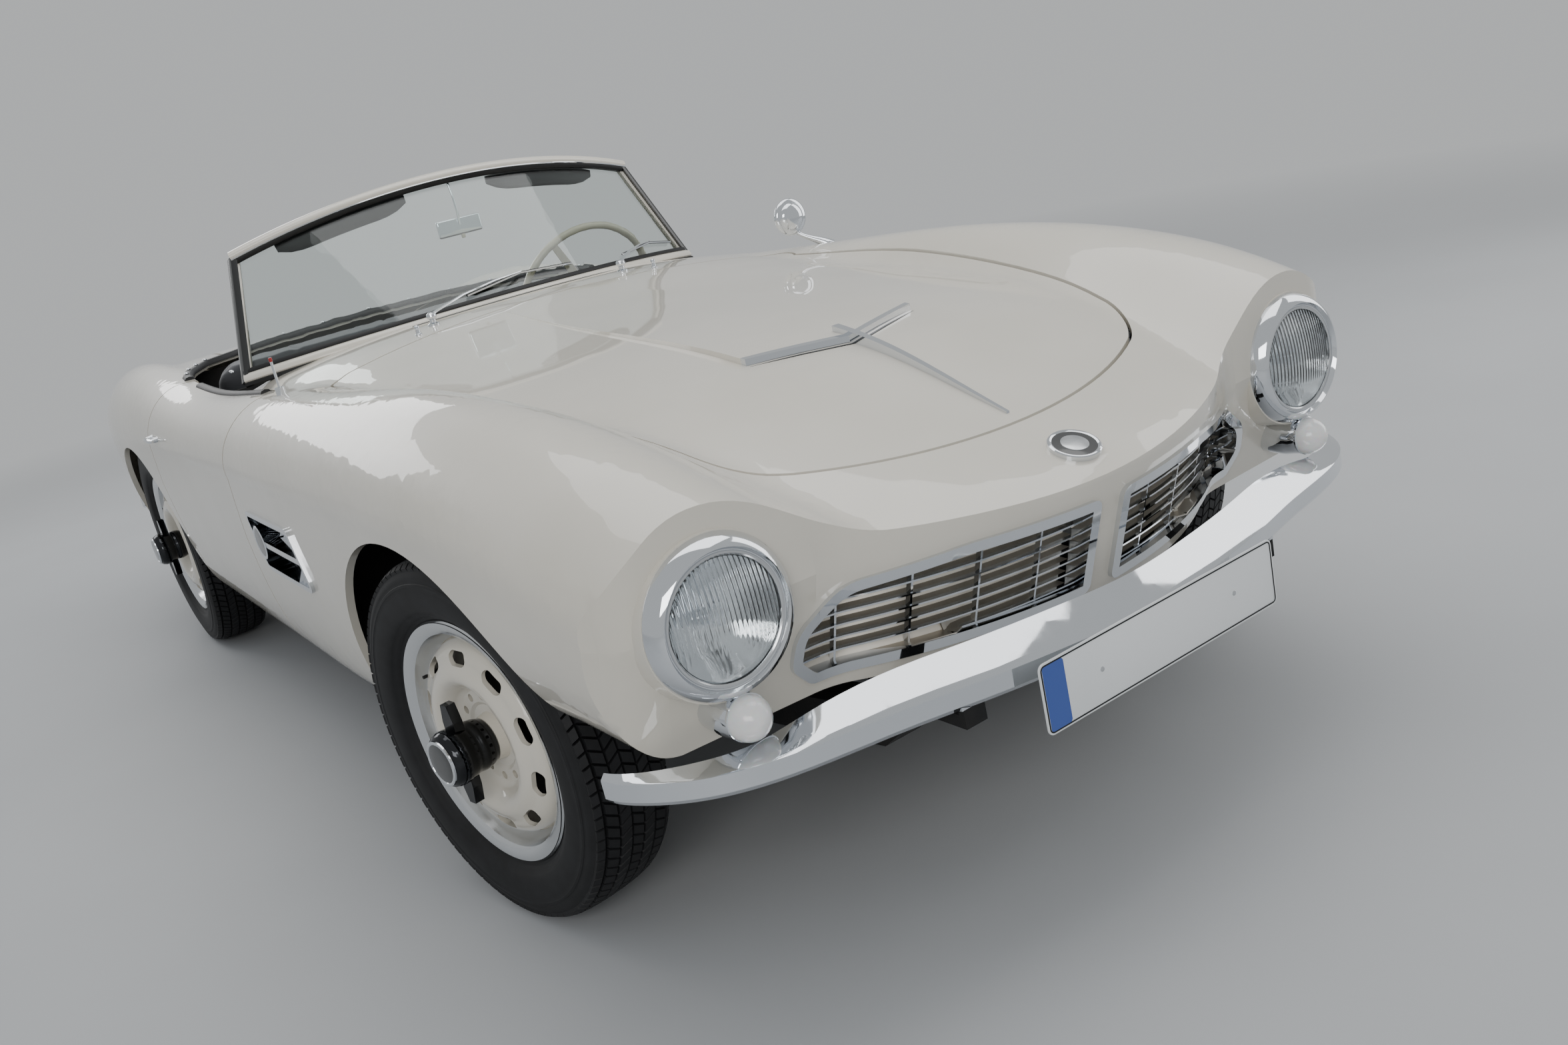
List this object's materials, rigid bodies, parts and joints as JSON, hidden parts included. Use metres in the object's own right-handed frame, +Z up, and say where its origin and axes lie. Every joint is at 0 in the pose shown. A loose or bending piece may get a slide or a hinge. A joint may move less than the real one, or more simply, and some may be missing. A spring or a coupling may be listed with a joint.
{
  "type": "roadster convertible car",
  "caption": "Two-seat open sports car with long hood, faired headlamps, wide kidney-shaped grilles, curved wings, disc wheels and a stowed soft top.",
  "frame": {"origin": "on the ground, below the centre of the overall length and width", "axes": "+X to the car's left, nose towards -Y, +Z up"},
  "size_m": [1.733, 4.3799, 1.2722],
  "materials": {
    "paint": "gloss",
    "chrome": "polished",
    "black_steel": "satin",
    "underbody": "matt",
    "engine_iron": "rough",
    "glass": "clear",
    "lens": "fluted",
    "milk_lens": "satin",
    "red_lens": "gloss",
    "tyre": "matt",
    "cream_wheel": "gloss",
    "knock_off": "gloss",
    "black_trim": "satin",
    "canvas": "matt",
    "cream_plastic": "gloss",
    "plate_white": "gloss",
    "exhaust_steel": "satin"
  },
  "bodies": {
    "car": {"front_body": "paint", "rear_body": "paint", "nose_badge": "chrome", "grilles": "chrome", "lamp_bowls": "chrome", "side_vents": "chrome", "headlamp_lenses": "lens", "indicator_lenses": "milk_lens", "tail_lamps": "red_lens", "front_bumper": "chrome", "rear_bumper": "chrome", "number_plates": "plate_white", "windscreen_frame": "black_steel", "windscreen_glass": "glass", "floor_tub": "underbody", "rear_deck": "underbody", "chassis_frame": "underbody", "engine_block": "engine_iron", "radiator": "underbody", "rear_axle": "engine_iron", "front_suspension": "engine_iron", "steering_column": "black_steel", "dashboard": "black_trim", "seats": "black_trim", "tonneau_cover": "canvas", "mirrors": "chrome", "antenna": "chrome", "wipers": "chrome", "exhaust": "exhaust_steel"},
    "hood_lid": {"hood": "paint", "hood_trim": "chrome"},
    "boot": {"boot_lid": "paint"},
    "left_door": {"door_left": "paint", "door_handle_left": "chrome"},
    "right_door": {"door_right": "paint", "door_handle_right": "chrome"},
    "left_knuckle": {"knuckle_left": "engine_iron"},
    "right_knuckle": {"knuckle_right": "engine_iron"},
    "wheel_of_steering": {"steering_wheel": "cream_plastic"},
    "road_wheel_front_left": {"tyre_front_left": "tyre", "wheel_front_left": "cream_wheel", "spinner_front_left": "knock_off"},
    "road_wheel_front_right": {"tyre_front_right": "tyre", "wheel_front_right": "cream_wheel", "spinner_front_right": "knock_off"},
    "road_wheel_rear_left": {"tyre_rear_left": "tyre", "wheel_rear_left": "cream_wheel", "spinner_rear_left": "knock_off"},
    "road_wheel_rear_right": {"tyre_rear_right": "tyre", "wheel_rear_right": "cream_wheel", "spinner_rear_right": "knock_off"}
  },
  "joints": [
    {"name": "hood_hinge", "type": "hinge", "parent": "car", "child": "hood_lid", "pos_m": [0, -1.957, 0.707], "axis": [1, 0, 0], "range_deg": [0, 50]},
    {"name": "boot_hinge", "type": "hinge", "parent": "car", "child": "boot", "pos_m": [0, 1.079, 0.886], "axis": [1, 0, 0], "range_deg": [0, 60]},
    {"name": "left_door_hinge", "type": "hinge", "parent": "car", "child": "left_door", "pos_m": [0.817, -0.242, 0.55], "axis": [0, 0, 1], "range_deg": [-65, 0]},
    {"name": "right_door_hinge", "type": "hinge", "parent": "car", "child": "right_door", "pos_m": [-0.817, -0.242, 0.55], "axis": [0, 0, 1], "range_deg": [0, 65]},
    {"name": "left_kingpin", "type": "hinge", "parent": "car", "child": "left_knuckle", "pos_m": [0.67, -1.34, 0.337], "axis": [0, 0, 1], "range_deg": [-39.6, 20.4]},
    {"name": "right_kingpin", "type": "hinge", "parent": "car", "child": "right_knuckle", "pos_m": [-0.67, -1.34, 0.337], "axis": [0, 0, 1], "range_deg": [-39.6, 20.4]},
    {"name": "steering_wheel_turn", "type": "hinge", "parent": "car", "child": "wheel_of_steering", "pos_m": [0.355, 0.149, 0.85], "axis": [0, 0.9063, 0.4226], "range_deg": [-640, 330]},
    {"name": "spin_front_left", "type": "hinge", "parent": "left_knuckle", "child": "road_wheel_front_left", "pos_m": [0.72176, -1.33125, 0.337], "axis": [0.986, 0.1668, 0], "continuous": true},
    {"name": "spin_front_right", "type": "hinge", "parent": "right_knuckle", "child": "road_wheel_front_right", "pos_m": [-0.72176, -1.34875, 0.337], "axis": [0.986, 0.1668, 0], "continuous": true},
    {"name": "spin_rear_left", "type": "hinge", "parent": "car", "child": "road_wheel_rear_left", "pos_m": [0.7125, 1.14, 0.337], "axis": [1, 0, 0], "continuous": true},
    {"name": "spin_rear_right", "type": "hinge", "parent": "car", "child": "road_wheel_rear_right", "pos_m": [-0.7125, 1.14, 0.337], "axis": [1, 0, 0], "continuous": true}
  ],
  "couplings": [
    {"joint": "right_kingpin", "follows": "left_kingpin", "ratio": 1},
    {"joint": "steering_wheel_turn", "follows": "left_kingpin", "ratio": 16}
  ]
}
